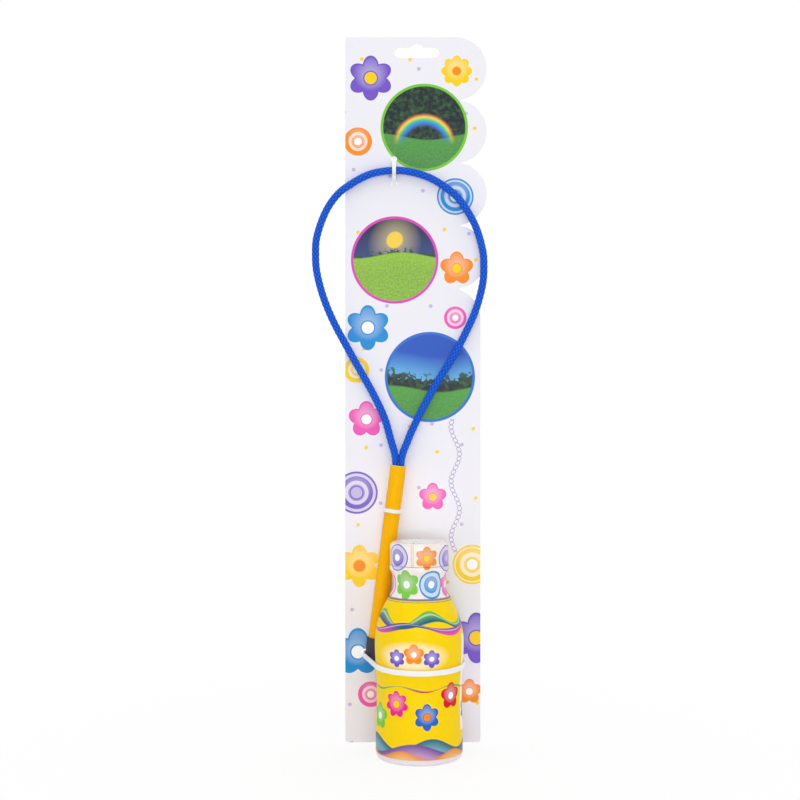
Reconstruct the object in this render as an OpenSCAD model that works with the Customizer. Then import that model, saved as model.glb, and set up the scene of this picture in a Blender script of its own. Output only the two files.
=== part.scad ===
// Bubble wand set: a rope-loop wand and a bottle of solution, tied to a hang card.
// Millimetres. Origin at the centre of the bottle's base, +Z up, the card behind it at +Y.

/* [Bottle] */
// Height from the table to the bottle's mouth
bottle_h = 144.8; // [130:0.2:160]
// Height of the straight band above the base
straight_z = 12; // [6:0.5:14]
// Height of the waist
waist_z = 43; // [36:0.5:46]
// Level of the widest place, measured down from the mouth
bulge_z = 65.8; // [60:0.2:70]
// Height of the dome of the shoulder
dome_h = 40; // [36:0.5:42]
// Radius of the body near the base
base_r = 29.5; // [28:0.1:31]
// Radius of the body at its waist
waist_r = 28.8; // [27.5:0.1:29.5]
// Radius of the body at its widest place
bulge_r = 30.2; // [29.5:0.1:33]
// Radius of the neck under the cap
neck_r = 17.9; // [16:0.1:19]
// Wall thickness of the bottle
bottle_wall = 1; // [0.7:0.1:1.6]
// Height of the hollow under the base
punt_h = 2.5; // [1:0.5:4]
// Radius of the hollow under the base
punt_r = 20.5; // [16:0.5:22]
// Level of the solution, measured down from the mouth
fill_z = 45.3; // [38:0.1:80]

/* [Closure] */
// Pitch of the cap's thread
pitch = 4; // [3.2:0.1:4.5]
// Turns of thread on the neck and in the cap
thread_turns = 1.5; // [1:0.25:1.5]
// Height of the thread's ridge
thread_h = 1.1; // [0.8:0.1:1.3]
// Play between the two threads, across and on the crests
thread_play = 0.4; // [0.3:0.05:0.5]
// Wall of the cap's skirt
cap_wall = 1.4; // [1:0.1:2]
// Thickness of the cap's top
cap_top = 1.6; // [1.4:0.1:2.4]
// Rounding of the cap's upper edge
cap_edge = 3.2; // [1:0.1:3.4]
// Length of the cap's skirt below the bottle's mouth
skirt_l = 12.7; // [11:0.1:14]
// Thickness of the foam liner
liner_t = 0.8; // [0.5:0.1:1.5]
// Height of the tamper band
band_h = 3.2; // [2.5:0.1:4]

/* [Films] */
// Thickness of the printed shrink films
film_t = 0.3; // [0.2:0.05:0.5]
// Height of the body sleeve's lower edge
sleeve_low = 4.5; // [3:0.5:10]
// Level where the sleeve ends and the neck seal begins, measured down from the mouth
sleeve_top = 34.4; // [30:0.2:38]
// How far the cap seal curls in over the cap's top
seal_curl = 4; // [2:0.5:8]

/* [Wand] */
// Outside diameter of the handle tube
tube_d = 10.9; // [9.6:0.1:11]
// Wall of the handle tube
tube_wall = 0.8; // [0.6:0.05:0.8]
// Length of the handle tube
tube_l = 136; // [120:1:150]
// Lean of the handle in the card's plane
tilt = 7.3; // [6:0.1:8]
// Place of the tube's mouth across the card
mouth_x = -14.4; // [-17:0.2:-12]
// Height of the tube's mouth
mouth_z = 198.5; // [190:0.5:205]
// Wall of the end cap
end_wall = 0.8; // [0.8:0.1:1.4]
// Length of the end cap
end_l = 15.2; // [12:0.2:20]
// Diameter of the rope
rope_d = 5.1; // [4.6:0.1:5.4]
// Diameter of each rope end where the tube squeezes it
squeeze_d = 3.8; // [3.4:0.1:3.8]
// Length of rope inside the tube
rope_tail = 26; // [20:1:40]
// Length of the glue plug
plug_l = 20; // [12:1:22]

/* [Hang card] */
// Height of the card
card_h = 500; // [480:1:540]
// Height of the card's lower edge above the table
card_low = 2; // [0:0.5:6]
// Thickness of the card
card_t = 0.8; // [0.5:0.1:1.2]
// Left edge, from the bottle's axis
card_left = -52; // [-60:0.5:-50]
// Right edge below the lobes
card_right = 43.8; // [42:0.2:46]
// Furthest reach of the lobes
lobe_reach = 48.3; // [47:0.1:50]
// Height of each lobe
lobe_pitch = 44.5; // [42:0.1:46]
// Number of whole lobes
lobes = 4; // [2:1:4]
// Depth of the notches between the lobes
notch = 19.5; // [16:0.5:21]
// Corner radius of the card
corner_r = 2.5; // [1:0.5:5]
// Width of the hang slot
slot_w = 32; // [30:0.5:34]
// Height of the hang slot's long part
slot_h = 7.7; // [6.5:0.1:8]
// Diameter of the slot's middle hole
slot_d = 10; // [9:0.1:11]
// Distance of the slot's centre line from the card's top
slot_drop = 11; // [10:0.2:14]
// Place of the slot across the card
slot_x = -1.3; // [-6:0.1:4]

/* [Cable ties] */
// Strap width of the two small ties
small_w = 2.7; // [2.4:0.1:3]
// Strap width of the bottle tie
large_w = 3.6; // [3:0.1:4]
// Strap thickness
tie_t = 1; // [0.8:0.1:1.2]
// Height of the handle tie along the handle, below the mouth
tie_drop = 32; // [28:1:60]
// Height above the handle's lower end where the bottle tie crosses it
tie_z = 3.2; // [3:0.1:10]
// Droop of the bottle tie from the card to its front
tie_droop = 3; // [0:0.5:5]
// Spread of the rope tie's legs
rope_spread = 48; // [35:1:50]

/* [Hidden] */
$fn = 64;

// Clearance between faces that are fixed together, and between faces that move or lie apart
fit = 0.05;
apart = 0.3;

// Bottle: roundings of its outline, the levels hung from its mouth, and the steps of its wall
neck_blend = 8;
base_corner = 3;
foot_r = base_r - base_corner;
bulge_level = bottle_h - bulge_z;
fill_level = bottle_h - fill_z;
sleeve_level = bottle_h - sleeve_top;
wall_step = 2.5;

// Closure, built down from the mouth
finish_r = neck_r - 1;
bore_r = finish_r - 1.6;
crest_r = finish_r + thread_h;
skirt_in = crest_r + thread_play;
cap_r = skirt_in + cap_wall;
liner_z = bottle_h + 0.1;
cap_in_z = liner_z + liner_t + 0.1;
cap_z = cap_in_z + cap_top;
skirt_z = bottle_h - skirt_l;
band_top = skirt_z - apart;
band_low = band_top - band_h;
bead_r = skirt_in - 0.3;
band_in = bead_r + apart;
band_r = cap_r + 0.2;
thread_z = skirt_z + pitch / 2 + 0.3;
thread_foot = 0.85;
thread_tip = 0.4;

// The card stands just behind the widest film
card_y = bulge_r + fit + film_t + apart;
card_top = card_low + card_h;

// Wand
tube_r = tube_d / 2;
bore = tube_r - tube_wall;
end_bore = tube_r + fit;
end_r = end_bore + end_wall;
end_floor = 1.4;
wand_off = end_r + apart;
wand_y = card_y - wand_off;
rope_r = rope_d / 2;
rope_off = rope_r + apart;
squeeze_r = squeeze_d / 2;
strand = squeeze_r + 0.25;
settle = 34;
sides = 10;

// Rope route in the card's plane, from the tube's mouth up the left side and round
route = [
  [-2.5, 8], [-5, 17], [-10, 34], [-18, 51], [-27.5, 68], [-37, 85], [-46, 102],
  [-53, 119], [-57.5, 136], [-58.5, 149], [-57.5, 162], [-51.5, 179], [-43, 191.5],
  [-32.5, 199.5], [-21, 205.5], [-10, 208], [1.5, 208.5], [13, 206.5], [24, 202.5],
  [35, 195.5], [44, 187], [54, 170.5], [59.5, 153], [60.5, 140], [59.5, 127.5],
  [55, 110.5], [47.5, 93.5], [38.5, 76.5], [28, 59.5], [18.5, 42.5], [10, 25.5],
  [6.5, 17], [3, 8]
];
crown = [-3, 208.4];

// Ties: the gap to what they hold, radius of each loop's inside, the core's distance from the card,
// and the lean of its legs, which start a tuck inside the loop's circle so that they cross it cleanly
tie_gap = 0.25;
tuck = 0.04;
rope_tie_r = rope_r + tie_gap;
handle_tie_r = tube_r + tie_gap;
handle_tie_p = [mouth_x - tie_drop * sin(tilt), mouth_z - tie_drop * cos(tilt)];
tie_level = mouth_z - (tube_l + end_floor) * cos(tilt) + tie_z;
tie_high = tie_level + wand_off * tan(tie_droop);
tie_low = tie_high - (card_y + bulge_r) * tan(tie_droop);
tied_r = max(wall_r(tie_low - large_w / 2), wall_r(tie_high + large_w / 2)) + fit + film_t;
bottle_tie_r = tied_r / cos(tie_droop) + tie_gap;
bottle_off = card_y / cos(tie_droop);
end_x = -mouth_x + (mouth_z - tie_level) * tan(tilt);
end_v = wand_y / cos(tie_droop);
end_far = norm([end_x, end_v]);
end_tie_r = end_r + large_w / 2 * tan(tilt + tie_droop) + apart;
end_off = bottle_off - end_v;
bottle_lean = acos((bottle_tie_r - end_tie_r) / end_far) - atan2(end_v, end_x);
handle_lean = -18;
left_lean = -10;
right_lean = -8;
back_v = -card_t - tie_gap;
bottle_head_u = 15;

// Outlines of the bottle
function ease(t) = (1 - cos(180 * min(max(t, 0), 1))) / 2;
function blend(a, b, t) = a + (b - a) * ease(t);
function soft_max(a, b, k) = max(a, b) + pow(max(k - abs(a - b), 0), 2) / (4 * k);
function dome_r(z) = bulge_r * sqrt(max(1 - pow((z - bulge_level) / dome_h, 2), 0));
function bottle_r(z) =
  z < waist_z ? blend(base_r, waist_r, (z - straight_z) / (waist_z - straight_z)) :
  z < bulge_level ? blend(waist_r, bulge_r, (z - waist_z) / (bulge_level - waist_z)) :
  soft_max(dome_r(z), neck_r, neck_blend);

// The wall is straight between its steps, and all that lies on it takes the same steps
function wall_r(z) =
  let (low = wall_step * floor(z / wall_step))
  bottle_r(low) + (bottle_r(low + wall_step) - bottle_r(low)) * (z - low) / wall_step;
function wall_line(z0, z1, out) =
  let (steps = [for (i = [0 : ceil(bottle_h / wall_step)]) i * wall_step])
  let (between = [for (z = steps) if (z > z0 + 0.2 && z < z1 - 0.2) z])
  [for (z = concat([z0], between, [z1])) [wall_r(z) + out, z]];
function arc(cx, cy, r, a0, a1, n) =
  [for (i = [0 : n]) [cx + r * cos(a0 + (a1 - a0) * i / n), cy + r * sin(a0 + (a1 - a0) * i / n)]];
function backward(list) = [for (i = [len(list) - 1 : -1 : 0]) list[i]];

// Points on the wand's axis: h above the mouth, s to its right
function on_wand(h, s) = [
  mouth_x + h * sin(tilt) + s * cos(tilt),
  wand_y,
  mouth_z + h * cos(tilt) - s * sin(tilt)
];
function on_route(p) = [
  mouth_x + p[0],
  card_y - blend(wand_off, rope_off, p[1] / settle),
  mouth_z + p[1]
];
function curve(a, b, c, d, t) =
  b + 0.5 * t * (c - a + t * (2 * a - 5 * b + 4 * c - d + t * (3 * (b - c) + d - a)));
rope_points = concat(
  [on_wand(-4, -strand), on_wand(0, -strand)],
  [for (p = route) on_route(p)],
  [on_wand(0, strand), on_wand(-4, strand)]
);
rope_line = concat(
  [on_wand(-rope_tail, -strand), on_wand(-4, -strand)],
  [for (i = [1 : len(rope_points) - 3], t = [0, 0.5])
    curve(rope_points[i - 1], rope_points[i], rope_points[i + 1], rope_points[i + 2], t)],
  [on_wand(0, strand), on_wand(-4, strand), on_wand(-rope_tail, strand)]
);
function unit(v) = v / norm(v);
function rope_at(i) =
  let (n = len(rope_line), p = rope_line[i])
  let (along = unit(rope_line[min(i + 1, n - 1)] - rope_line[max(i - 1, 0)]))
  let (front = unit([0, 1, 0] - along * along[1]))
  let (side = cross(along, front))
  let (r = blend(squeeze_r, rope_r, (p[2] - mouth_z) / 16))
  [for (k = [0 : sides - 1]) p + r * (cos(360 * k / sides) * front + sin(360 * k / sides) * side)];

// Ties, in a plane with u along the card and v out of its front: where a leaning leg leaves a circle
// that stands off the card, and where it reaches a height v
function touch(side, r, off, lean) = [side * r * cos(lean), off + r * sin(lean)];
function foot(side, r, off, lean, v) = [side * (r + (off - v) * sin(lean)) / cos(lean), v];

// Places across the card of the bottle tie's two legs, at a height v, more out from its inner face
function left_leg(more, v) = foot(-1, end_tie_r + more, end_off, left_lean, v)[0] - end_x;
function right_leg(more, v) = foot(1, bottle_tie_r + more, bottle_off, right_lean, v)[0];

module ring(outline) {
  rotate_extrude() polygon(outline);
}

module on_card(x, z, turn) {
  translate([x, card_y, z]) rotate([0, turn, 0]) rotate([180, 0, 0]) children();
}

module loop_shape(r, off, lean, v) {
  leg_r = r - tuck;
  translate([0, off]) circle(r);
  polygon([
    touch(-1, leg_r, off, lean), foot(-1, leg_r, off, lean, v),
    foot(1, leg_r, off, lean, v), touch(1, leg_r, off, lean)
  ]);
}

module bottle_loop(more, v) {
  r = bottle_tie_r + more;
  q = end_tie_r + more;
  end = [-end_x, 0];
  translate([0, bottle_off]) circle(r);
  translate([-end_x, end_off]) circle(q);
  polygon([
    touch(-1, r - tuck, bottle_off, bottle_lean), end + touch(-1, q - tuck, end_off, bottle_lean),
    end + touch(-1, q - tuck, end_off, left_lean), end + foot(-1, q - tuck, end_off, left_lean, v),
    foot(1, r - tuck, bottle_off, right_lean, v), touch(1, r - tuck, bottle_off, right_lean)
  ]);
}

// A tie whose loop is given by its outer and inner outlines, with its head behind the card
module tie(left_u, right_u, front_v, width, head_u) {
  head = width + 2;
  head_h = width + 0.9;
  linear_extrude(width, center = true) intersection() {
    difference() {
      children(0);
      children(1);
    }
    translate([left_u, back_v - tie_t]) square([right_u - left_u, front_v - back_v + 2 * tie_t]);
  }
  translate([head_u, back_v - 0.2 - head_h / 2, 0]) cube([head, head_h, head - 0.4], center = true);
  translate([head_u, back_v - head_h - 0.7, 0]) cube([tie_t, 1.6, width], center = true);
}

module small_tie(r, off, lean) {
  edge_u = max(r + 2 * tie_t, foot(1, r + tie_t, off, lean, back_v)[0]);
  tie(-edge_u, edge_u, off + r + tie_t, small_w, 0) {
    loop_shape(r + tie_t, off, lean, back_v - tie_t);
    loop_shape(r, off, lean, back_v);
  }
}

module tie_hole(x, z, turn, u, width) {
  translate([x + u * cos(turn), z - u * sin(turn)]) circle(d = width + 1.5);
}

module small_holes(x, z, turn, r, off, lean) {
  u = foot(1, r + tie_t / 2, off, lean, -card_t / 2)[0];
  for (side = [-1, 1]) tie_hole(x, z, turn, side * u, small_w);
}

module thread(in_r, in_half, out_r, out_half, z, start) {
  steps = round(24 * thread_turns);
  points = [
    for (i = [0 : steps])
    let (a = start + 15 * i, h = z + pitch * i / 24)
    for (p = [[in_r, -in_half], [out_r, -out_half], [out_r, out_half], [in_r, in_half]])
    [p[0] * cos(a), p[0] * sin(a), h + p[1]]
  ];
  walls = [
    for (i = [0 : steps - 1], j = [0 : 3])
    let (a = 4 * i + j, b = 4 * i + (j + 1) % 4)
    each [[a, b, b + 4], [a, b + 4, a + 4]]
  ];
  last = 4 * steps;
  ends = [[2, 1, 0], [3, 2, 0], [last, last + 1, last + 2], [last, last + 2, last + 3]];
  polyhedron(points, concat(walls, ends));
}

module backing_card() {
  lobe_r = lobe_pitch / 2;
  edge_z = card_top - (2 * lobes + 1) * lobe_r;
  inner_x = lobe_reach - notch;
  corner_z = card_low + corner_r;
  color("Lavender") translate([0, card_y + card_t, 0]) rotate([90, 0, 0]) linear_extrude(card_t)
    difference() {
      union() {
        translate([card_left, corner_z]) square([inner_x - card_left, card_h - 2 * corner_r]);
        translate([card_left + corner_r, card_low]) square([inner_x - card_left - corner_r, card_h]);
        translate([inner_x, card_low]) square([card_right - corner_r - inner_x, edge_z - card_low]);
        translate([inner_x, corner_z]) square([card_right - inner_x, edge_z - corner_z]);
        for (x = [card_left + corner_r, card_right - corner_r]) translate([x, corner_z]) circle(corner_r);
        translate([card_left + corner_r, card_top - corner_r]) circle(corner_r);
        translate([card_right - lobe_r, edge_z]) circle(lobe_r);
        for (i = [0 : lobes - 1])
          translate([lobe_reach - lobe_r, card_top - (2 * i + 1) * lobe_r]) circle(lobe_r);
      }
      translate([slot_x, card_top - slot_drop]) {
        square([slot_w - slot_h, slot_h], center = true);
        for (s = [-1, 1]) translate([s * (slot_w - slot_h) / 2, 0]) circle(d = slot_h);
        translate([0, (slot_d - slot_h) / 2 + 0.4]) circle(d = slot_d);
      }
      small_holes(mouth_x + crown[0], mouth_z + crown[1], 90, rope_tie_r, rope_off, rope_spread);
      small_holes(handle_tie_p[0], handle_tie_p[1], tilt, handle_tie_r, wand_off, handle_lean);
      for (u = [left_leg(tie_t / 2, -card_t / 2), right_leg(tie_t / 2, -card_t / 2)])
        tie_hole(0, tie_high, 0, u, large_w);
    }
}

module rope_tie() {
  color("White") on_card(mouth_x + crown[0], mouth_z + crown[1], 90)
    small_tie(rope_tie_r, rope_off, rope_spread);
}

module handle_tie() {
  color("White") on_card(handle_tie_p[0], handle_tie_p[1], tilt)
    small_tie(handle_tie_r, wand_off, handle_lean);
}

module bottle_tie() {
  color("White") on_card(0, tie_high, 0) rotate([tie_droop, 0, 0])
    tie(
      -end_x - end_tie_r - 2 * tie_t, bottle_tie_r + 2 * tie_t, bottle_off + bottle_tie_r,
      large_w, bottle_head_u
    ) {
      bottle_loop(tie_t, back_v - tie_t);
      bottle_loop(0, back_v);
    }
}

module in_wand() {
  translate([mouth_x, wand_y, mouth_z]) rotate([0, tilt, 0]) children();
}

module handle_tube() {
  color("Gold") in_wand() translate([0, 0, -tube_l]) difference() {
    cylinder(h = tube_l, r = tube_r);
    translate([0, 0, -1]) cylinder(h = tube_l + 2, r = bore);
  }
}

module end_cap() {
  edge = 1.2;
  color("DimGray") in_wand() translate([0, 0, -tube_l - end_floor]) rotate_extrude() difference() {
    union() {
      translate([0, edge]) square([end_r, end_l - edge]);
      square([end_r - edge, end_l]);
      translate([end_r - edge, edge]) circle(edge);
    }
    translate([0, end_floor]) square([end_bore, end_l]);
  }
}

module rope_loop() {
  n = len(rope_line);
  points = [for (i = [0 : n - 1]) each rope_at(i)];
  walls = [
    for (i = [0 : n - 2], k = [0 : sides - 1])
    let (a = i * sides + k, b = i * sides + (k + 1) % sides)
    each [[a, b + sides, b], [a, a + sides, b + sides]]
  ];
  first = [for (k = [1 : sides - 2]) [0, k, k + 1]];
  last = [for (k = [1 : sides - 2]) [(n - 1) * sides, (n - 1) * sides + k + 1, (n - 1) * sides + k]];
  color("RoyalBlue") polyhedron(points, concat(walls, first, last));
}

module rope_glue_plug() {
  color("Ivory") in_wand() translate([0, 0, -3 - plug_l]) difference() {
    cylinder(h = plug_l, r = bore - fit);
    for (s = [-1, 1]) translate([s * strand, 0, -1]) cylinder(h = plug_l + 2, r = squeeze_r + fit);
  }
}

function cavity(gap, top) = concat(
  [[0, top], [0, punt_h + bottle_wall + gap], [punt_r - 2, punt_h + bottle_wall + gap]],
  [[foot_r, bottle_wall + gap]],
  wall_line(base_corner + bottle_wall, top, -bottle_wall - gap)
);

module bottle() {
  inside_top = band_low - 4;
  color("MistyRose") union() {
    difference() {
      ring(concat(
        [[0, bottle_h], [0, punt_h], [punt_r - 3, punt_h], [punt_r, 0]],
        arc(foot_r, base_corner, base_corner, -90, 0, 6),
        wall_line(base_corner + 2, band_low, 0),
        [[bead_r, band_low + 0.6], [bead_r, band_top - 1], [finish_r, band_top - 0.4]],
        [[finish_r, bottle_h - 0.8], [finish_r - 0.8, bottle_h]]
      ));
      ring(cavity(0, inside_top));
      translate([0, 0, inside_top - 1]) cylinder(h = bottle_h, r = bore_r);
    }
    thread(finish_r - 0.4, thread_foot, crest_r, thread_tip, thread_z, 0);
  }
}

module bubble_solution() {
  color("LightCyan") ring(cavity(fit, fill_level));
}

module tamper_band() {
  color("White") ring([
    [band_in, band_low], [band_r, band_low], [band_r, band_top], [band_in, band_top]
  ]);
}

module screw_cap() {
  color("White") union() {
    difference() {
      ring(concat(
        [[0, cap_z], [0, skirt_z], [cap_r, skirt_z]],
        arc(cap_r - cap_edge, cap_z - cap_edge, cap_edge, 0, 90, 8)
      ));
      translate([0, 0, skirt_z - 1]) cylinder(h = cap_in_z - skirt_z + 1, r = skirt_in);
    }
    thread(finish_r + thread_play, thread_tip, skirt_in + 0.4, thread_foot, thread_z - pitch / 4, 90);
  }
}

module cap_liner() {
  color("WhiteSmoke") translate([0, 0, liner_z]) cylinder(h = liner_t, r = skirt_in - 0.5);
}

module cap_seal() {
  x = cap_r - cap_edge;
  y = cap_z - cap_edge;
  color("Thistle") ring(concat(
    [[cap_r + fit, skirt_z + 0.1]],
    arc(x, y, cap_edge + fit, 0, 90, 8),
    [[x - seal_curl, cap_z + fit], [x - seal_curl, cap_z + fit + film_t]],
    arc(x, y, cap_edge + fit + film_t, 90, 0, 8),
    [[cap_r + fit + film_t, skirt_z + 0.1]]
  ));
}

module neck_seal() {
  low = sleeve_level + 0.2;
  turn_z = band_low - 2.8;
  color("Thistle") ring(concat(
    wall_line(low, turn_z, fit),
    [[band_r + fit, band_low - 0.1], [band_r + fit, band_top - 0.1]],
    [[band_r + fit + film_t, band_top - 0.1], [band_r + fit + film_t, band_low - 0.2]],
    backward(wall_line(low, turn_z - 0.2, fit + film_t))
  ));
}

module body_sleeve() {
  color("Gold") ring(concat(
    wall_line(sleeve_low, sleeve_level, fit),
    backward(wall_line(sleeve_low, sleeve_level, fit + film_t))
  ));
}

backing_card();
rope_tie();
handle_tie();
bottle_tie();
handle_tube();
end_cap();
rope_loop();
rope_glue_plug();
bottle();
bubble_solution();
tamper_band();
screw_cap();
cap_liner();
cap_seal();
neck_seal();
body_sleeve();
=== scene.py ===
from math import atan2, ceil, cos, floor, hypot, pi, radians, sin

import bmesh
import bpy
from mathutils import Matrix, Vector


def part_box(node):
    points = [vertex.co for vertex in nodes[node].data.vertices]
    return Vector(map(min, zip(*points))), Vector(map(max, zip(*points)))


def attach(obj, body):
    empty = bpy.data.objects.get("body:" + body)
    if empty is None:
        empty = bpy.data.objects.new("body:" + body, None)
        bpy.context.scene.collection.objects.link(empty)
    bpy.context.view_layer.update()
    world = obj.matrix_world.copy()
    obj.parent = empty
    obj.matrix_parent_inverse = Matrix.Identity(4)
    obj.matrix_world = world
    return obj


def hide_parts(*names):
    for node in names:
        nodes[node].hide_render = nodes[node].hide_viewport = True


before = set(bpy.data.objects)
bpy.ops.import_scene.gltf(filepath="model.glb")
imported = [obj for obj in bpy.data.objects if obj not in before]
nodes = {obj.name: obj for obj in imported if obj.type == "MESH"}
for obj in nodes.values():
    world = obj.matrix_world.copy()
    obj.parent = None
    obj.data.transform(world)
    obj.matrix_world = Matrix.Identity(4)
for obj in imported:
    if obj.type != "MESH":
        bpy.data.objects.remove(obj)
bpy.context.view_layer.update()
scene = bpy.context.scene
scene.view_settings.view_transform = "Standard"


# Camera
# It stands level with the middle of the set and square to the card, as for a catalogue page.
camera = bpy.data.objects.new("camera", bpy.data.cameras.new("camera"))
camera.data.lens = 63
camera.data.sensor_width = 36
camera.location = (-0.0132, -0.962, 0.2447)
camera.rotation_euler = (radians(90), 0, 0)
scene.collection.objects.link(camera)
scene.camera = camera


# Rope loop
# Blue braided polyester rope of twelve strands, bent into a ring. Both ends are squeezed side
# by side into the mouth of the handle, where hot glue holds them, and a tie holds the crown.
rope_r = 0.00255
squeeze_r = 0.0019
rope_tail = 0.026
rope_lead = 0.004
rope_step = 0.00036
end_aside = 0.00215
mouth_half_w, mouth_half_d = 0.0021, 0.0029
swell_over, thin_over = 0.009, 0.003
curve_steps = 24
tilt = radians(7.3)
card_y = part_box("backing_card")[0].y
wand_off = 0.0066
rope_off = 0.00285
settle = 0.034
mouth = Vector((-0.0144, card_y - wand_off, 0.1985))
rope_route = [
    (-0.0025, 0.008), (-0.005, 0.017), (-0.010, 0.034), (-0.018, 0.051), (-0.0275, 0.068),
    (-0.037, 0.085), (-0.046, 0.102), (-0.053, 0.119), (-0.0575, 0.136), (-0.0585, 0.149),
    (-0.0575, 0.162), (-0.0515, 0.179), (-0.043, 0.1915), (-0.0325, 0.1995), (-0.021, 0.2055),
    (-0.010, 0.208), (0.0015, 0.2085), (0.013, 0.2065), (0.024, 0.2025), (0.035, 0.1955),
    (0.044, 0.187), (0.054, 0.1705), (0.0595, 0.153), (0.0605, 0.140), (0.0595, 0.1275),
    (0.055, 0.1105), (0.0475, 0.0935), (0.0385, 0.0765), (0.028, 0.0595), (0.0185, 0.0425),
    (0.010, 0.0255), (0.0065, 0.017), (0.003, 0.008),
]


def ease(t):
    """A smooth step: 0 up to t = 0, and 1 from t = 1 on."""
    return (1 - cos(pi * min(max(t, 0), 1))) / 2


def on_wand(height, aside):
    """A point in the handle's slanting frame: height above its mouth, aside to its right."""
    return mouth + Vector((
        height * sin(tilt) + aside * cos(tilt), 0, height * cos(tilt) - aside * sin(tilt)))


def on_route(aside, height):
    """A point of the rope's route, aside and up from the mouth, settling back on to the card."""
    depth = wand_off + (rope_off - wand_off) * ease(height / settle)
    return Vector((mouth.x + aside, card_y - depth, mouth.z + height))


def curve(a, b, c, d, t):
    """The smooth curve from b to c, with a and d as the points before and after."""
    return b + 0.5 * t * (c - a + t * (2 * a - 5 * b + 4 * c - d + t * (3 * (b - c) + d - a)))


def evenly(points, step):
    """Points an equal step apart along a line of many points, and the line's length."""
    spans = [(b - a).length for a, b in zip(points, points[1:])]
    length = sum(spans)
    count = round(length / step)
    placed, at, gone = [], 0, 0
    for i in range(count + 1):
        want = length * i / count
        while at < len(spans) - 1 and gone + spans[at] < want:
            gone += spans[at]
            at += 1
        placed.append(points[at].lerp(points[at + 1], (want - gone) / spans[at]))
    return placed, length


knots = [on_wand(-rope_lead, -end_aside), on_wand(0, -end_aside)]
knots += [on_route(aside, height) for aside, height in rope_route]
knots += [on_wand(0, end_aside), on_wand(-rope_lead, end_aside)]
rope_line = [on_wand(-rope_tail, -end_aside), on_wand(-rope_lead, -end_aside)]
for a, b, c, d in zip(knots, knots[1:], knots[2:], knots[3:]):
    rope_line += [curve(a, b, c, d, i / curve_steps) for i in range(curve_steps)]
rope_line += [on_wand(-down, end_aside) for down in (0, rope_lead, rope_tail)]
rope_path, rope_length = evenly(rope_line, rope_step)

# The braid: six strands wind each way, and each passes over one and under the next
braid_strands = 6
braid_pitch = 0.0036
braid_depth = 0.12
braid_proud = 0.05
strand_dip = 0.6
strand_fibres = 6
rope_sides = 48


def braid_height(around, along):
    """The braid's height, at turns around and metres along: 0 in a crease, 1 on a strand's back."""
    a = braid_strands * around + along / braid_pitch
    b = braid_strands * around - along / braid_pitch
    across, length = a - floor(a) - 0.5, b - floor(b) - 0.5
    if (floor(a) + floor(b)) % 2:
        across, length = length, across
    return max(cos(pi * across), 0) ** 0.5 * (1 - strand_dip + strand_dip * cos(pi * length))


def rope_section(z):
    """Half width and half depth of the rope: round in the loop, oval in the mouth, then thin."""
    if z > mouth.z:
        radius, share = rope_r, ease((z - mouth.z) / swell_over)
    else:
        radius, share = squeeze_r, ease((mouth.z - z) / thin_over)
    return [half + (radius - half) * share for half in (mouth_half_w, mouth_half_d)]


def finish_piece(name, bm, material, body):
    """Makes the piece's object from its mesh, smooth shaded, and lets it ride on its body."""
    mesh = bpy.data.meshes.new(name)
    bm.to_mesh(mesh)
    bm.free()
    mesh.shade_smooth()
    mesh.materials.append(material)
    piece = bpy.data.objects.new(name, mesh)
    scene.collection.objects.link(piece)
    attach(piece, body)
    return piece


def rope_mesh():
    """A grid rolled round the rope's line, raised by its braid and closed at both ends."""
    bm = bmesh.new()
    bm.loops.layers.uv.new("rope")
    rows = len(rope_path) - 1
    bmesh.ops.create_grid(bm, x_segments=rope_sides, y_segments=rows, size=0.5, calc_uvs=True)
    for vertex in bm.verts:
        around, share = vertex.co.x + 0.5, vertex.co.y + 0.5
        i = round(share * rows)
        run = (rope_path[min(i + 1, rows)] - rope_path[max(i - 1, 0)]).normalized()
        front = (Vector((0, 1, 0)) - run * run.y).normalized()
        side = run.cross(front)
        width, depth = rope_section(rope_path[i].z)
        height = 1 + braid_proud - braid_depth * (1 - braid_height(around, share * rope_length))
        turn = 2 * pi * around
        vertex.co = rope_path[i] + height * (depth * cos(turn) * front + width * sin(turn) * side)
    bmesh.ops.remove_doubles(bm, verts=bm.verts, dist=1e-6)
    bmesh.ops.holes_fill(bm, edges=[edge for edge in bm.edges if edge.is_boundary], sides=0)
    bmesh.ops.recalc_face_normals(bm, faces=bm.faces)
    return bm


class Wire:
    """A shader socket that can be reckoned with: each step makes one Math node."""

    def __init__(self, tree, socket):
        self.tree, self.socket = tree, socket

    def __add__(self, other):
        return reckon("ADD", self, other)

    def __radd__(self, other):
        return reckon("ADD", other, self)

    def __sub__(self, other):
        return reckon("SUBTRACT", self, other)

    def __rsub__(self, other):
        return reckon("SUBTRACT", other, self)

    def __mul__(self, other):
        return reckon("MULTIPLY", self, other)

    def __rmul__(self, other):
        return reckon("MULTIPLY", other, self)

    def __truediv__(self, other):
        return reckon("DIVIDE", self, other)


def plug(socket, value):
    """Links a wire to a socket, or sets the socket to a plain value."""
    if isinstance(value, Wire):
        value.tree.links.new(value.socket, socket)
    else:
        socket.default_value = value


def reckon(operation, *values):
    """One Math node on these wires and numbers."""
    tree = next(value.tree for value in values if isinstance(value, Wire))
    node = tree.nodes.new("ShaderNodeMath")
    node.operation = operation
    for socket, value in zip(node.inputs, values):
        plug(socket, value)
    return Wire(tree, node.outputs[0])


def clamp(wire):
    """The wire held between 0 and 1."""
    held = reckon("ADD", wire, 0.0)
    held.socket.node.use_clamp = True
    return held


def place(tree, kind, settings=None, **inputs):
    """Adds a shader node, sets its fields, and plugs its inputs by name."""
    node = tree.nodes.new("ShaderNode" + kind)
    for field, value in (settings or {}).items():
        setattr(node, field, value)
    for name, value in inputs.items():
        plug(node.inputs[name.replace("_", " ")], value)
    return node


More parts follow.
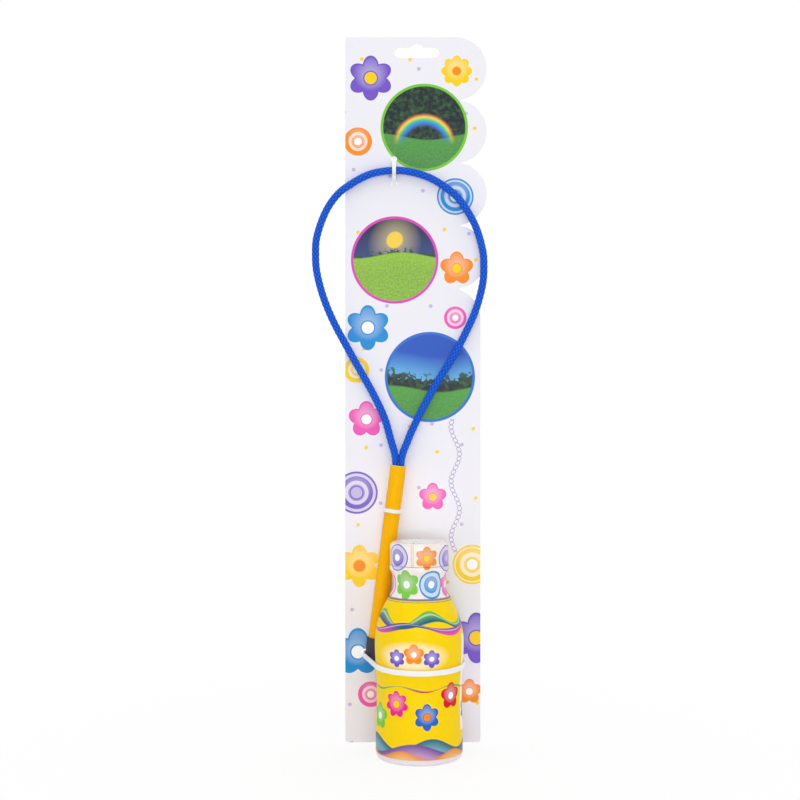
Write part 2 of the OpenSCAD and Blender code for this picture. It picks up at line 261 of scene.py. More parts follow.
def wires(tree, node, *names):
    """A wire for each named output of a node, or the wire alone where one is named."""
    found = [Wire(tree, node.outputs[name]) for name in names]
    return found if len(found) > 1 else found[0]


def noise(tree, scale, detail):
    """Noise from 0 to 1 on a piece's own coordinates, with about so many grains to the metre."""
    coords = wires(tree, place(tree, "TexCoord"), "Object")
    return wires(tree, place(tree, "TexNoise", Vector=coords, Scale=scale, Detail=detail), "Fac")


def over(mask, below, above):
    """The colour above laid on the colour below where the mask is 1."""
    mix = mask.tree.nodes.new("ShaderNodeMix")
    mix.data_type = "RGBA"
    plug(mix.inputs[0], mask)
    plug(mix.inputs[6], below)
    plug(mix.inputs[7], above)
    return Wire(mask.tree, mix.outputs[2])


def paint(red, green, blue):
    """A screen colour, in bytes, as the linear colour that a shader takes."""
    def linear(byte):
        share = byte / 255
        return share / 12.92 if share <= 0.04045 else ((share + 0.055) / 1.055) ** 2.4
    return (linear(red), linear(green), linear(blue), 1)


def shade(colour, amount):
    """A colour made darker, or lighter where amount is over 1."""
    return (*[min(part * amount, 1) for part in colour[:3]], 1)


def new_material(name, **fixed):
    """A material with one Principled shader, its plain values set on the shader's own sockets."""
    material = bpy.data.materials.new(name)
    material.use_nodes = True
    shader = material.node_tree.nodes["Principled BSDF"]
    for socket, value in fixed.items():
        plug(shader.inputs[socket.replace("_", " ")], value)
    return material, material.node_tree, shader


def bump(tree, height, distance, strength=1.0):
    """A Bump node on a height, as a normal."""
    node = place(tree, "Bump", Height=height, Distance=distance, Strength=strength)
    return Wire(tree, node.outputs["Normal"])


def new_group(name, takes, gives):
    """A shader node group with named sockets; returns it with a wire for each thing it takes."""
    group = bpy.data.node_groups.new(name, "ShaderNodeTree")
    for socket, value in takes.items():
        kind = "NodeSocketColor" if isinstance(value, tuple) else "NodeSocketFloat"
        made = group.interface.new_socket(socket, in_out="INPUT", socket_type=kind)
        made.default_value = value
    for socket, kind in gives.items():
        group.interface.new_socket(socket, in_out="OUTPUT", socket_type="NodeSocket" + kind)
    entry = group.nodes.new("NodeGroupInput")
    leave = group.nodes.new("NodeGroupOutput")
    return group, {name: Wire(group, entry.outputs[name]) for name in takes}, leave


def use_group(tree, group, **inputs):
    """Places a node group in a material or another group and plugs its inputs."""
    return place(tree, "Group", {"node_tree": group}, **inputs)


def rope_material():
    """Blue fibres along each strand, with painted shade in the creases and a painted highlight on
    the strands' backs.
    """
    # The crease colour is painted shade, and the paler blue is a painted highlight
    blue, highlight_blue, crease = paint(3, 92, 222), paint(44, 130, 246), paint(3, 61, 186)
    material, tree, shader = new_material(
        "blue_braid", Roughness=0.5, Sheen_Weight=0.03, Sheen_Roughness=0.4, Specular_IOR_Level=0.2)
    coords = place(tree, "UVMap", {"uv_map": "rope"})
    split = place(tree, "SeparateXYZ", Vector=wires(tree, coords, "UV"))
    around, along = wires(tree, split, "X", "Y")
    a = around * braid_strands + along * (rope_length / braid_pitch)
    b = around * braid_strands - along * (rope_length / braid_pitch)
    on_top = reckon("MODULO", reckon("FLOOR", a) + reckon("FLOOR", b) + 4096.0, 2.0)
    across_a = reckon("FRACT", a) - 0.5
    across_b = reckon("FRACT", b) - 0.5
    across = across_a + (across_b - across_a) * on_top
    length = across_b + (across_a - across_b) * on_top
    back = reckon("COSINE", across * pi) * (reckon("COSINE", length * pi) * 0.7 + 0.3)
    fibres = reckon("SINE", across * (2 * pi * strand_fibres) + length * 2.0)
    specks = noise(tree, 9000.0, 3.0)
    # Painted shade: the crease colour where the strands fall away from their backs
    colour = over(clamp(back * 2.0 - 0.1), crease, blue)
    # Painted highlight: a paler blue on the strands' backs, broken by the fibres and specks
    colour = over(clamp(back * 1.6 - 0.9 + fibres * 0.1 + (specks - 0.5) * 0.8), colour, highlight_blue)
    plug(shader.inputs["Base Color"], colour)
    plug(shader.inputs["Normal"], bump(tree, back * 0.6 + fibres * 0.12 + specks * 0.2, 0.0003))
    return material


rope = finish_piece("rope_loop_braid", rope_mesh(), rope_material(), "set")
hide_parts("rope_loop")


# Hang card
# White board, die cut with round lobes and a hang slot, printed on its front and varnished. Its
# back is bare board. The print is a loose pattern of flowers, rings and round meadow pictures.
violet, lilac, sky = paint(116, 84, 200), paint(200, 182, 230), paint(0, 140, 214)
orange, yellow, pink = paint(250, 142, 12), paint(252, 210, 0), paint(240, 84, 182)
leaf, navy, white = paint(120, 200, 50), paint(28, 34, 72), paint(255, 255, 255)
board_white = paint(239, 238, 245)
heart_r = 0.3
sun_r, sun_rise = 0.2, 0.28
bow_r, bow_half, bow_sink = 0.575, 0.155, 0.2
picture_r = 0.94


def spot_group():
    """A printed spot: a flower of round petals, or a disc of rings, with a rim and a heart."""
    group, take, leave = new_group("printed_spot", {
        "Below": white, "Across": 0.0, "Up": 0.0, "Centre across": 0.0, "Centre up": 0.0,
        "Radius": 10.0, "Petals": 0.0, "Scallop": 0.0, "Rings": 0.0, "Ink": violet, "Heart": white,
    }, {"Colour": "Color"})
    dx = (take["Across"] - take["Centre across"]) / take["Radius"]
    dz = (take["Up"] - take["Centre up"]) / take["Radius"]
    r = reckon("SQRT", dx * dx + dz * dz)
    petal = reckon("ABSOLUTE", reckon("COSINE", reckon("ARCTAN2", dx, dz) * take["Petals"] * 0.5))
    edge = 1.0 - take["Scallop"] * (1.0 - petal)
    crisp = take["Radius"] * 4.0
    depth = edge - r
    ripple = clamp(reckon("SINE", r * take["Rings"] * (2 * pi)) * 4.0)
    ripple = ripple * reckon("SIGN", take["Rings"])
    ink = over(clamp(0.75 - r + dz * 0.3) * 0.6, take["Ink"], white)
    ink = over(ripple * 0.6, ink, white)
    ink = over(clamp((0.1 - depth) * crisp), ink, take["Ink"])
    ink = over(clamp((heart_r - r) * crisp + 0.5), ink, take["Heart"])
    ink = over(clamp((0.035 - reckon("ABSOLUTE", r - heart_r)) * crisp), ink, take["Ink"])
    plug(leave.inputs["Colour"], over(clamp(depth * crisp + 0.5), take["Below"], ink))
    return group


def meadow_group():
    """A printed round picture in a coloured rim: a meadow, a line of trees, and the sky."""
    group, take, leave = new_group("printed_meadow", {
        "Below": white, "Across": 0.0, "Up": 0.0, "Centre across": 0.0, "Centre up": 0.0,
        "Radius": 30.0, "Horizon": 0.0, "Trees": 0.3, "Bow": 0.0, "Sun": 0.0,
        "Rim": leaf, "Ground": leaf, "Low sky": white, "High sky": sky,
    }, {"Colour": "Color"})
    dx = (take["Across"] - take["Centre across"]) / take["Radius"]
    dz = (take["Up"] - take["Centre up"]) / take["Radius"]
    r = reckon("SQRT", dx * dx + dz * dz)
    hill = take["Horizon"] + 0.07 * reckon("SINE", dx * 3.0 + take["Horizon"] * 9.0)
    spread = wires(group, place(group, "CombineXYZ", X=dx, Y=dz, Z=take["Horizon"]), "Vector")

    def speckle(scale, detail):
        """Rough noise over the picture, which the horizon makes other on each one."""
        return wires(group, place(
            group, "TexNoise", Vector=spread, Scale=scale, Detail=detail, Roughness=0.65), "Fac")

    leaves, blades = speckle(9.0, 6.0), speckle(24.0, 5.0)
    picture = over(clamp((dz - hill) * 1.3), take["Low sky"], take["High sky"])
    from_sun = dz - hill - sun_rise
    from_sun = reckon("SQRT", dx * dx + from_sun * from_sun)
    picture = over(clamp(1.0 - from_sun * 1.6) * take["Sun"] * 0.6, picture, paint(255, 235, 170))
    picture = over(clamp((sun_r - from_sun) * 40.0) * take["Sun"], picture, paint(255, 214, 60))
    wood = over(clamp((leaves - 0.45) * 4.0), paint(18, 30, 40), paint(58, 104, 58))
    tree_tops = hill + take["Trees"] + (leaves - 0.5) * 0.9
    picture = over(clamp((tree_tops - dz) * 18.0), picture, wood)
    ground = over(clamp((blades - 0.38) * 3.5) * 0.4 + 0.6, navy, take["Ground"])
    ground = over(clamp(0.5 - (hill - dz) * 1.2), ground, take["Ground"])
    picture = over(clamp((hill - dz) * 30.0), picture, ground)
    bow_up = dz - take["Horizon"] + bow_sink
    from_bow = reckon("SQRT", dx * dx + bow_up * bow_up)
    ramp = place(group, "ValToRGB", Fac=(from_bow - (bow_r - bow_half)) * 3.2)
    stops = [(0.0, (120, 90, 220)), (0.25, (40, 130, 235)), (0.5, (70, 205, 160)),
             (0.7, (250, 225, 80)), (0.85, (250, 150, 60)), (1.0, (240, 110, 170))]
    ramp.color_ramp.elements.remove(ramp.color_ramp.elements[1])
    for at, colour in stops:
        element = ramp.color_ramp.elements[0] if at == 0 else ramp.color_ramp.elements.new(at)
        element.color = paint(*colour)
    band = clamp((bow_half - reckon("ABSOLUTE", from_bow - bow_r)) * 14.0) * clamp(bow_up * 3.0)
    picture = over(band * take["Bow"], picture, wires(group, ramp, "Color"))
    crisp = take["Radius"] * 4.0
    picture = over(clamp((picture_r - r) * crisp + 0.5), take["Rim"], picture)
    plug(leave.inputs["Colour"], over(clamp((1.0 - r) * crisp + 0.5), take["Below"], picture))
    return group


spot_print = spot_group()
meadow_print = meadow_group()


def millimetres(tree):
    """Wires for a piece's own coordinates, in millimetres."""
    split = place(tree, "SeparateXYZ", Vector=wires(tree, place(tree, "TexCoord"), "Object"))
    return [axis * 1000.0 for axis in wires(tree, split, "X", "Y", "Z")]


def inside(wire, low, high, crisp):
    """1 where a wire lies between two values, and 0 outside them."""
    return clamp((wire - low) * crisp) * clamp((high - wire) * crisp)


def flower(x, z, radius, petals, ink, heart, scallop=0.3):
    """What the printed spot needs for a flower, with its place and radius in millimetres."""
    return dict(Centre_across=x, Centre_up=z, Radius=radius, Petals=petals, Scallop=scallop,
                Ink=ink, Heart=heart)


def disc(x, z, radius, rings, ink, heart):
    """What the printed spot needs for a disc of rings, with its place and radius in millimetres."""
    return dict(Centre_across=x, Centre_up=z, Radius=radius, Rings=rings, Ink=ink, Heart=heart)


def lay(tree, group, below, across, up, prints):
    """Lays prints of one kind over a colour, one after the other."""
    for values in prints:
        node = use_group(tree, group, Below=below, Across=across, Up=up, **values)
        below = wires(tree, node, "Colour")
    return below


# Places and sizes of every print are in millimetres
card_pictures = (
    dict(Centre_across=4, Centre_up=438, Radius=31, Horizon=-0.2, Trees=1.4, Bow=0.9, Rim=leaf,
         Ground=paint(88, 164, 70), Low_sky=paint(30, 40, 60), High_sky=paint(24, 30, 52)),
    dict(Centre_across=-17, Centre_up=344, Radius=31, Horizon=0.12, Trees=0.05, Sun=0.9,
         Rim=paint(222, 66, 190), Ground=paint(156, 206, 62), Low_sky=paint(52, 70, 130),
         High_sky=paint(16, 22, 52)),
    dict(Centre_across=8, Centre_up=261, Radius=32, Horizon=-0.25, Trees=0.3,
         Rim=paint(40, 112, 205), Ground=paint(88, 170, 66), Low_sky=paint(120, 206, 246),
         High_sky=paint(22, 84, 190)),
)
card_spots = (
    flower(-34, 473, 16, 6, violet, yellow), disc(-43, 428, 10, 2.2, orange, white),
    flower(27, 478, 11, 8, yellow, orange, scallop=0.2), disc(26, 389, 13, 2.5, sky, white),
    flower(27, 338, 12, 5, orange, yellow), disc(26, 303, 8, 2, pink, white),
    flower(-36, 296, 16, 6, sky, white), disc(-44, 266, 9, 2.2, yellow, white),
    flower(-37, 231, 13, 5, pink, white), disc(-44, 179, 15, 2.6, violet, lilac),
    flower(-42, 127, 15, 6, yellow, orange), flower(-43, 66, 17, 5, sky, white),
    disc(-34, 36, 9, 2.2, pink, white), flower(10, 176, 10, 5, pink, yellow),
    disc(38, 128, 14, 2.4, yellow, white), flower(41, 76, 18, 6, violet, yellow),
    flower(36, 38, 9, 5, orange, white),
)
confetti_per_mm, confetti_r = 0.036, 0.055
bead_x, bead_swing, bead_wave = 26.0, 3.0, 0.16
bead_step, bead_r, bead_line = 3.2, 1.5, 0.32
bead_low, bead_high = 136.0, 232.0


def card_material():
    """Print and varnish on the faces that look forwards, and bare board on the others."""
    material, tree, shader = new_material(
        "printed_board", Coat_Roughness=0.12, Specular_IOR_Level=0.25)
    x, _, z = millimetres(tree)
    flat = place(tree, "CombineXYZ", X=x * confetti_per_mm, Y=z * confetti_per_mm)
    confetti = place(
        tree, "TexVoronoi", {"voronoi_dimensions": "2D"}, Vector=wires(tree, flat, "Vector"),
        Scale=1.0, Randomness=0.8)
    distance, chance = wires(tree, confetti, "Distance", "Color")
    speck = clamp((confetti_r - distance) * 60.0)
    warm = clamp((wires(tree, place(tree, "SeparateXYZ", Vector=chance), "X") - 0.45) * 50.0)
    colour = over(speck, board_white, over(warm, lilac, yellow))
    aside = x - bead_x - bead_swing * reckon("SINE", z * bead_wave)
    along = reckon("PINGPONG", z, bead_step) - bead_step / 2
    from_bead = reckon("SQRT", aside * aside + along * along)
    beads = clamp((bead_line - reckon("ABSOLUTE", from_bead - bead_r)) * 8.0)
    beads = beads * inside(z, bead_low, bead_high, 1.0)
    colour = over(beads, colour, shade(lilac, 0.75))
    colour = lay(tree, meadow_print, colour, x, z, card_pictures)
    colour = lay(tree, spot_print, colour, x, z, card_spots)
    normal = wires(tree, place(tree, "NewGeometry"), "Normal")
    facing = wires(tree, place(tree, "SeparateXYZ", Vector=normal), "Y")
    front = clamp(facing * -4.0)
    fibre = noise(tree, 1800.0, 4.0)
    bare = over(fibre * 0.5, paint(240, 238, 236), paint(222, 219, 214))
    plug(shader.inputs["Base Color"], over(front, bare, colour))
    plug(shader.inputs["Roughness"], 0.8 - front * 0.42)
    plug(shader.inputs["Coat Weight"], front * 0.15)
    plug(shader.inputs["Normal"], bump(tree, fibre * (1.0 - front * 0.85), 0.0001, 0.6))
    return material


sharp_angle = radians(35)


def dress(node, material, bevel=0.0):
    """Gives a solid its material and, where asked, its small rounded edges."""
    piece = nodes[node]
    piece.data.materials.clear()
    piece.data.materials.append(material)
    if bevel:
        weld = piece.modifiers.new("weld", "WELD")
        weld.merge_threshold = 1e-5
        rounding = piece.modifiers.new("rounded_edges", "BEVEL")
        rounding.width = bevel
        rounding.segments = 3
        rounding.limit_method = "ANGLE"
        rounding.angle_limit = sharp_angle


dress("backing_card", card_material())


# Cable ties
# Three white nylon ties, each a smooth strap with a head. Each goes through two holes in the card
# and is drawn tight in its head behind it: over the crown of the rope, round the handle, and round
# the bottle.
def nylon_material():
    """Natural white nylon, a little milky."""
    material, tree, shader = new_material(
        "white_nylon", Roughness=0.38, Subsurface_Weight=0.25, Subsurface_Scale=0.0015)
    haze = noise(tree, 4000.0, 3.0)
    plug(shader.inputs["Base Color"], over(haze, paint(250, 250, 250), paint(238, 238, 240)))
    plug(shader.inputs["Normal"], bump(tree, haze, 0.00015, 0.5))
    return material


nylon = nylon_material()
for name in ("rope_tie", "handle_tie", "bottle_tie"):
    dress(name, nylon, 0.0002)


# Handle
# A thin extruded plastic tube in warm yellow, cut square at its mouth, with a black dipped vinyl
# cap pushed on its lower end and a plug of hot glue round the two rope ends.
# How far below the mouth the painted highlight reaches, in millimetres
rim_highlight_mm = 0.35


def tube_material():
    """Warm yellow with faint lines along the tube, as from the die, and a painted highlight on its
    end at the mouth.
    """
    material, tree, shader = new_material(
        "yellow_tube", Roughness=0.4, Specular_IOR_Level=0.08, Subsurface_Weight=0.1,
        Subsurface_Scale=0.002)
    coords = place(tree, "Mapping", Vector=wires(tree, place(tree, "TexCoord"), "Object"))
    coords.inputs["Rotation"].default_value = (0, -tilt, 0)
    coords.inputs["Scale"].default_value = (900, 900, 12)
    drawn = place(tree, "TexNoise", Vector=wires(tree, coords, "Vector"), Scale=1.0, Detail=3.0)
    lines = wires(tree, drawn, "Fac")
    x, _, z = millimetres(tree)
    up = (x - mouth.x * 1000) * sin(tilt) + (z - mouth.z * 1000) * cos(tilt)
    colour = over(lines, paint(255, 192, 0), paint(254, 176, 0))
    # Painted highlight: cream-yellow on the tube's end face and a thin band just below the mouth
    rim_highlight = clamp((up + rim_highlight_mm) * 8.0)
    plug(shader.inputs["Base Color"], over(rim_highlight, colour, paint(255, 228, 150)))
    plug(shader.inputs["Normal"], bump(tree, lines, 0.0001, 0.35))
    return material


def vinyl_material():
    """Black vinyl with a fine grain, rather dull."""
    material, tree, shader = new_material("black_vinyl", Roughness=0.5, Specular_IOR_Level=0.4)
    grain = noise(tree, 6000.0, 4.0)
    plug(shader.inputs["Base Color"], over(grain, paint(44, 38, 54), paint(58, 50, 68)))
    plug(shader.inputs["Normal"], bump(tree, grain, 0.0001, 0.5))
    return material


def glue_material():
    """Cream hot glue that lets some light in."""
    material, tree, shader = new_material(
        "hot_glue", Roughness=0.25, Subsurface_Weight=0.4, Subsurface_Scale=0.003)
    cloud = noise(tree, 1500.0, 3.0)
    plug(shader.inputs["Base Color"], over(cloud, paint(238, 226, 196), paint(246, 240, 222)))
    plug(shader.inputs["Normal"], bump(tree, cloud, 0.0004, 0.5))
    return material


dress("handle_tube", tube_material(), 0.00015)
dress("end_cap", vinyl_material(), 0.0003)
dress("rope_glue_plug", glue_material())


# Bottle and closure
# A blown bottle of milky polythene, full of clear solution, with a white screw cap. The cap seats a
# foam liner on the bottle's mouth, and its torn-off band stays on the neck.
def milky_material(name, light, dim, rough):
    """A milky plastic that clouds between two tones."""
    material, tree, shader = new_material(
        name, Roughness=rough, Subsurface_Weight=0.35, Subsurface_Scale=0.003,
        Specular_IOR_Level=0.45)
    cloud = noise(tree, 1600.0, 4.0)
    plug(shader.inputs["Base Color"], over(cloud, light, dim))
    plug(shader.inputs["Normal"], bump(tree, cloud, 0.0003, 0.25))
    return material


def solution_material():
    """Clear soapy water."""
    material, tree, shader = new_material(
        "clear_solution", Roughness=0.05, IOR=1.34, Transmission_Weight=0.9)
    cloud = noise(tree, 500.0, 2.0)
    plug(shader.inputs["Base Color"], over(cloud, paint(236, 246, 250), paint(226, 240, 248)))
    return material


polythene = milky_material("milky_polythene", paint(247, 238, 242), paint(238, 226, 234), 0.35)
cap_plastic = milky_material("white_cap", paint(248, 248, 248), paint(240, 240, 242), 0.32)
liner_foam = milky_material("liner_foam", paint(246, 246, 244), paint(232, 232, 230), 0.8)
dress("bottle", polythene)
dress("bubble_solution", solution_material())
dress("tamper_band", cap_plastic, 0.0002)
dress("screw_cap", cap_plastic)
dress("cap_liner", liner_foam)


# Printed films
# Three shrink films: the yellow body sleeve, and a seal torn in two at the cap's lower edge, so
# that its upper part turns with the cap. Each is spun on its solid's outline, with the creases of
# shrinking.
film_t = 0.0003
film_steps = 160
film_row = 0.0007
smooth_passes = 3


def film_outline(node):
    """The outside of a film's solid as (radius, height), from below, at even rows and smoothed."""
    rings = {}
    for vertex in nodes[node].data.vertices:
        radius = hypot(vertex.co.x, vertex.co.y)
        row = round(vertex.co.z * 1000)
        rings[row] = max(rings.get(row, (0, 0)), (radius, vertex.co.z))
    low, high = (corner.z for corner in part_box(node))
    known = sorted((z, radius) for radius, z in rings.values())
    count = ceil((high - low) / film_row)
    rows = []
    at = 0
    for i in range(count + 1):
        z = low + (high - low) * i / count
        while at < len(known) - 2 and known[at + 1][0] < z:
            at += 1
        (z0, r0), (z1, r1) = known[at], known[at + 1]
        share = min(max((z - z0) / (z1 - z0), 0), 1)
        rows.append((r0 + (r1 - r0) * share, z))
    for _ in range(smooth_passes):
        trios = zip(rows, rows[1:], rows[2:])
        middle = [((a[0] + 2 * b[0] + c[0]) / 4, b[1]) for a, b, c in trios]
        rows = [rows[0], *middle, rows[-1]]
    return rows


def spun_film(rows, crease):
    """Spins an outline into a film's outer skin, which crease(point) lifts, in metres."""
    bm = bmesh.new()
    line = [bm.verts.new((0, radius, z)) for radius, z in rows]
    edges = [bm.edges.new(pair) for pair in zip(line, line[1:])]
    bmesh.ops.spin(
        bm, geom=line + edges, cent=(0, 0, 0), axis=(0, 0, 1), angle=2 * pi, steps=film_steps,
        use_merge=True)
    bmesh.ops.remove_doubles(bm, verts=bm.verts, dist=1e-6)
    bmesh.ops.recalc_face_normals(bm, faces=bm.faces)
    bm.normal_update()
    for vertex in bm.verts:
        vertex.co += vertex.normal * crease(vertex.co)
    return bm


def thicken(piece):
    """Gives a film its thickness, inwards."""
    skin = piece.modifiers.new("film", "SOLIDIFY")
    skin.thickness = film_t
    skin.offset = -1


def turn_of(point):
    """Angle round the bottle, 0 at its front and positive to the right."""
    return atan2(point.x, -point.y)


def window(value, low, high, soft):
    """1 between low and high, easing to 0 over a soft margin outside them."""
    return ease((value - low) / soft + 1) * ease((high - value) / soft + 1)


sleeve_low, sleeve_high = (corner.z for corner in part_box("body_sleeve"))
sleeve_pucker = 0.00016
seam_half, seam_lap = 0.003, 0.00012


def sleeve_crease(point):
    """Puckers at the sleeve's ends, where it shrank most, and the lapped seam at the back."""
    turn = turn_of(point)
    pucker = 0.5 + 0.5 * sin(41 * turn + 2.5 * sin(3 * turn))
    ends = window(point.z, sleeve_high - 0.004, sleeve_high, 0.012)
    ends += 0.6 * window(point.z, sleeve_low, sleeve_low + 0.002, 0.004)
    seam = ease(2 - (pi - abs(turn)) * hypot(point.x, point.y) / seam_half)
    return sleeve_pucker * pucker * ends + seam_lap * seam


def round_bottle(tree, radius):
    """Wires for a film's print: the angle round, the millimetres round, and the millimetres up."""
    x, y, z = millimetres(tree)
    turn = reckon("ARCTAN2", x, y * -1.0)
    return turn, turn * radius, z


def ribbon(tree, below, turn, z, level, swing, waves, phase, half, inks):
    """A waving printed ribbon that swells and thins as it goes round, shaded across its width."""
    line = level + swing * reckon("SINE", turn * waves + phase)
    wide = half * (0.65 + 0.35 * reckon("SINE", turn * (waves + 1.0) + phase * 2.0))
    across = (z - line) / wide
    body = clamp((1.0 - reckon("ABSOLUTE", across)) * 5.0)
    mix = over(clamp(reckon("SINE", turn * 3.0 + phase) * 0.7 + 0.5), inks[0], inks[1])
    mix = over(clamp(across * 0.6 + 0.4), mix, inks[2])
    shine = clamp(1.0 - reckon("ABSOLUTE", across - 0.35) * 4.0)
    return over(body, below, over(shine * 0.5, mix, white))


teal, plum, ruby = paint(24, 104, 124), paint(104, 70, 160), paint(214, 24, 44)
rose, royal = paint(235, 40, 140), paint(40, 100, 195)
print_r = 30.0
panel_left, panel_right, panel_low, panel_high = 36.5, 90.0, 20.0, 86.0
oval_x, oval_z, oval_half_w, oval_half_h = -5.0, 73.0, 27.0, 11.0
sleeve_flowers = (
    flower(-16, 72, 6, 6, violet, white), flower(-4, 75, 7, 5, orange, white),
    flower(8, 72, 6, 6, violet, white), flower(-17, 41, 9, 7, rose, yellow),
    flower(5, 33, 9, 6, royal, orange), flower(24, 46, 9, 5, ruby, white),
    flower(-34, 31, 9, 5, leaf, white), flower(46, 34, 8, 6, violet, yellow),
    flower(63, 66, 10, 7, pink, white), flower(-58, 60, 10, 6, royal, white),
    flower(80, 40, 9, 5, orange, white), flower(-80, 34, 9, 6, rose, white),
)


def sleeve_material():
    """Yellow film with two ribbons at the shoulder, a thin one below the tie, and hills below."""
    material, tree, shader = new_material(
        "printed_sleeve", Roughness=0.4, Coat_Roughness=0.12, Specular_IOR_Level=0.07)
    turn, across, z = round_bottle(tree, print_r)
    cloud = noise(tree, 400.0, 2.0)
    colour = over(cloud, paint(252, 218, 0), paint(251, 208, 0))
    # A white panel round the label's back. Where its edge shows at the bottle's right side, it also
    # stands as a painted reflection
    back_panel_and_reflection = inside(across, panel_left, panel_right, 1.5) * inside(z, panel_low, panel_high, 1.5)
    colour = over(back_panel_and_reflection, colour, paint(252, 247, 240))
    dx, dz = (across - oval_x) / oval_half_w, (z - oval_z) / oval_half_h
    oval = reckon("SQRT", dx * dx + dz * dz)
    colour = over(clamp((1.0 - oval) * 2.2) * 0.85, colour, paint(255, 242, 206))
    for level, swing, waves, phase, half, inks in (
        (96.0, 3.6, 4.0, 0.4, 4.4, (plum, teal, leaf)),
        (91.5, 2.6, 3.0, 2.2, 2.8, (pink, teal, plum)),
        (51.5, 1.6, 5.0, 4.0, 0.8, (ruby, leaf, teal)),
    ):
        colour = ribbon(tree, colour, turn, z, level, swing, waves, phase, half, inks)
    for level, swing, waves, phase, crest, low in (
        (15.0, 4.0, 4.0, 0.5, paint(36, 92, 120), paint(120, 170, 190)),
        (11.5, 4.0, 3.0, 2.0, paint(96, 72, 150), paint(196, 150, 196)),
        (8.0, 2.5, 5.0, 3.6, paint(232, 140, 52), paint(250, 206, 140)),
    ):
        hill = level + swing * reckon("SINE", turn * waves + phase)
        ink = over(clamp((hill - z) * 0.14), crest, low)
        colour = over(clamp((hill - z) * 1.2), colour, ink)
    colour = lay(tree, spot_print, colour, across, z, sleeve_flowers)
    hem = sleeve_high * 1000
    for drop, width in ((0.5, 0.7), (2.0, 0.3)):
        line = clamp((width - reckon("ABSOLUTE", z - (hem - drop))) * 6.0)
        colour = over(line * 0.8, colour, paint(92, 98, 150))
    plug(shader.inputs["Base Color"], colour)
    plug(shader.inputs["Coat Weight"], 0.05 + cloud * 0.08)
    plug(shader.inputs["Normal"], bump(tree, cloud, 0.0004, 0.3))
    return material


sleeve = finish_piece(
    "body_sleeve_film", spun_film(film_outline("body_sleeve"), sleeve_crease), sleeve_material(),
    "set")
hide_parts("body_sleeve")
thicken(sleeve)

neck_low, neck_high = (corner.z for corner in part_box("neck_seal"))
neck_pucker = 0.00022


def neck_crease(point):
    """Upright puckers under the tamper band, where the seal draws in to the neck."""
    turn = turn_of(point)
    pucker = 0.5 + 0.5 * sin(29 * turn + 3 * sin(4 * turn) + 180 * (point.z - neck_low))
    return neck_pucker * pucker * window(point.z, neck_high - 0.009, neck_high - 0.004, 0.006)


seal_spots = (
    disc(-17, 138, 9, 1.6, violet, white), flower(5, 138, 8, 6, orange, yellow),
    disc(23, 137, 9, 1.6, violet, lilac), flower(-10, 120, 10, 6, leaf, white, scallop=0.28),
    disc(9, 120, 9.5, 1.7, sky, white), flower(26, 119, 9, 5, pink, white),
    disc(-31, 119, 10, 1.7, pink, white), flower(40, 138, 7.5, 6, sky, yellow, scallop=0.28),
    flower(-36, 138, 9, 5, orange, white), disc(44, 118, 10, 1.7, leaf, white),
    disc(53, 138, 9, 1.6, orange, white), disc(-53, 137, 9, 1.6, leaf, white),
    flower(-49, 119, 9, 6, violet, white, scallop=0.28), flower(59, 118, 6, 5, sky, yellow),
)
seal_print_r = 20.0
tear_places = (-5.6, -4.4)
tear_step, tear_dot = 1.3, 0.42
seal_gap = 0.00025


def seal_material(name, tear):
    """Whitish film with a print that runs on from the neck to the cap, and a dotted tear line."""
    material, tree, shader = new_material(
        name, Roughness=0.3, Coat_Roughness=0.08, Specular_IOR_Level=0.35, Subsurface_Weight=0.2,
        Subsurface_Scale=0.001)
    _, across, z = round_bottle(tree, seal_print_r)
    cloud = noise(tree, 1500.0, 3.0)
    colour = over(clamp(cloud * 2.0 - 0.5), paint(252, 248, 246), paint(248, 228, 218))
    colour = lay(tree, spot_print, colour, across, z, seal_spots)
    for tear_place in tear_places if tear else ():
        up = (reckon("FRACT", z / tear_step) - 0.5) * tear_step
        aside = across - tear_place
        dots = clamp((tear_dot - reckon("SQRT", aside * aside + up * up)) * 8.0)
        colour = over(dots, colour, orange)
    plug(shader.inputs["Base Color"], colour)
    plug(shader.inputs["Coat Weight"], 0.6 + cloud * 0.2)
    plug(shader.inputs["Normal"], bump(tree, cloud, 0.0005, 0.3))
    return material


neck = finish_piece(
    "neck_seal_film", spun_film(film_outline("neck_seal"), neck_crease),
    seal_material("neck_seal_print", False), "set")
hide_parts("neck_seal")
thicken(neck)

cap_low, cap_high = neck_high + seal_gap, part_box("cap_seal")[1].z
cap_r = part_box("cap_seal")[1].x
cap_edge = 0.00355
cap_curl = 0.004
cap_pucker = 0.00025
side_rows, edge_rows, curl_rows = 16, 12, 8


def cap_outline():
    """Up the side of the cap, round its edge and a little way in over its top."""
    side = cap_high - cap_edge - cap_low
    rows = [(cap_r, cap_low + side * i / side_rows) for i in range(side_rows)]
    for i in range(edge_rows + 1):
        angle = pi / 2 * i / edge_rows
        rows.append((cap_r - cap_edge * (1 - cos(angle)), cap_high - cap_edge * (1 - sin(angle))))
    curl = range(1, curl_rows + 1)
    rows += [(cap_r - cap_edge - cap_curl * i / curl_rows, cap_high) for i in curl]
    return rows


def cap_crease(point):
    """Fine radial puckers where the seal curls in over the cap's top."""
    turn = turn_of(point)
    inward = ease((cap_r - hypot(point.x, point.y)) / (cap_edge + cap_curl))
    pucker = 0.5 + 0.5 * sin(37 * turn + 3 * sin(5 * turn))
    return -cap_pucker * pucker * inward


cap_film = finish_piece(
    "cap_seal_film", spun_film(cap_outline(), cap_crease), seal_material("cap_seal_print", True),
    "cap")
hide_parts("cap_seal")
thicken(cap_film)


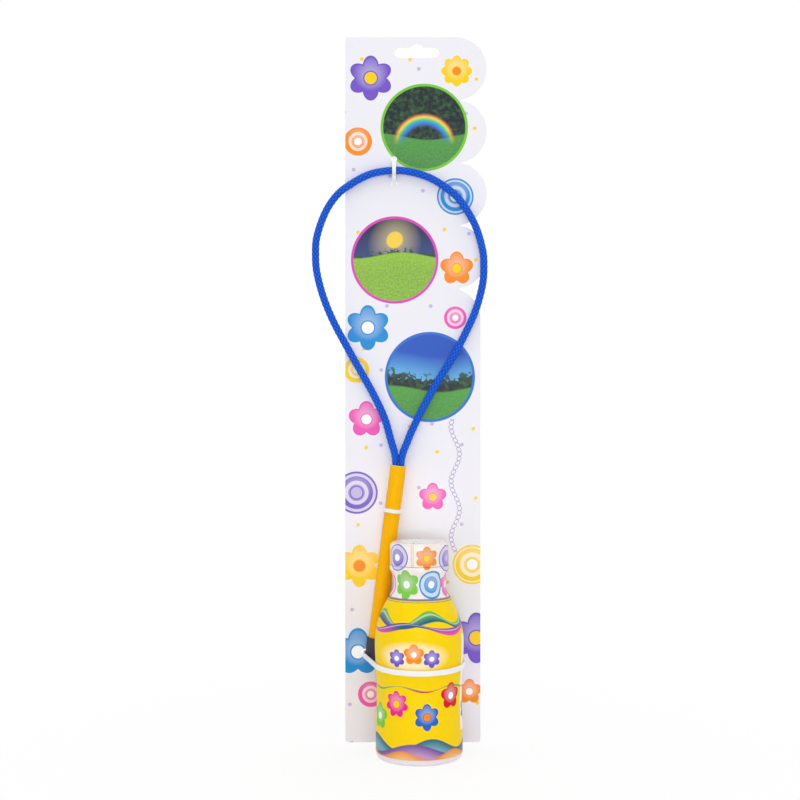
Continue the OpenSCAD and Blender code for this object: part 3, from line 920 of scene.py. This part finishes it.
# Studio
# A white floor and a white surround, lit softly from all round, with a narrow lamp low in front.
# Both look plain white, also in the gloss of the films, and the floor keeps a faint shadow.
def seen(tree):
    """1 for rays from the camera, or from gloss or glass, and 0 for the light that falls."""
    path = place(tree, "LightPath")
    camera_ray, gloss, glass = wires(
        tree, path, "Is Camera Ray", "Is Glossy Ray", "Is Transmission Ray")
    return clamp(camera_ray + gloss + glass)


floor_r = 6
floor_near, floor_fade = 0.82, 350.0


def floor_material():
    """A white floor that shows the set's shadow near it and fades to plain white further off."""
    material, tree, shader = new_material("floor_white", Base_Color=(1, 1, 1, 1), Roughness=0.9)
    glow = place(tree, "Emission", Color=(1, 1, 1, 1), Strength=1.0)
    x, y, _ = millimetres(tree)
    away = reckon("SQRT", x * x + y * y) / floor_fade
    plain = seen(tree) * clamp(floor_near + away * (1 - floor_near))
    mix = place(tree, "MixShader", Fac=plain)
    tree.links.new(shader.outputs["BSDF"], mix.inputs[1])
    tree.links.new(glow.outputs["Emission"], mix.inputs[2])
    tree.links.new(mix.outputs["Shader"], tree.nodes["Material Output"].inputs["Surface"])
    return material


floor_mesh = bmesh.new()
bmesh.ops.create_circle(floor_mesh, cap_ends=True, radius=floor_r, segments=64)
floor_data = bpy.data.meshes.new("floor")
floor_mesh.to_mesh(floor_data)
floor_mesh.free()
floor_data.materials.append(floor_material())
floor_piece = bpy.data.objects.new("floor", floor_data)
scene.collection.objects.link(floor_piece)

world = bpy.data.worlds.new("white_studio")
world.use_nodes = True
scene.world = world
surround_light = 0.69
backdrop = world.node_tree.nodes["Background"]
backdrop.inputs["Color"].default_value = (1, 1, 1, 1)
plug(backdrop.inputs["Strength"], seen(world.node_tree) * (1 - surround_light) + surround_light)

for name, at, aim, size, spread, power in (
    ("front_light", (0, -1.25, 0.32), (0, 0, 0.32), 0.7, 180, 2),
    ("low_light", (0, -1.25, 0.06), (0, 0, 0.05), 0.16, 26, 0.02),
    ("top_light", (0, -0.4, 1.3), (0, 0, 0.2), 0.8, 180, 3.2),
    ("back_light", (0.3, 1.2, 0.3), (0, 0, 0.25), 0.8, 180, 3),
):
    lamp = bpy.data.objects.new(name, bpy.data.lights.new(name, "AREA"))
    lamp.data.shape = "DISK"
    lamp.data.size = size
    lamp.data.energy = power
    lamp.data.spread = radians(spread)
    lamp.location = at
    lamp.rotation_euler = (Vector(aim) - Vector(at)).to_track_quat("-Z", "Y").to_euler()
    scene.collection.objects.link(lamp)
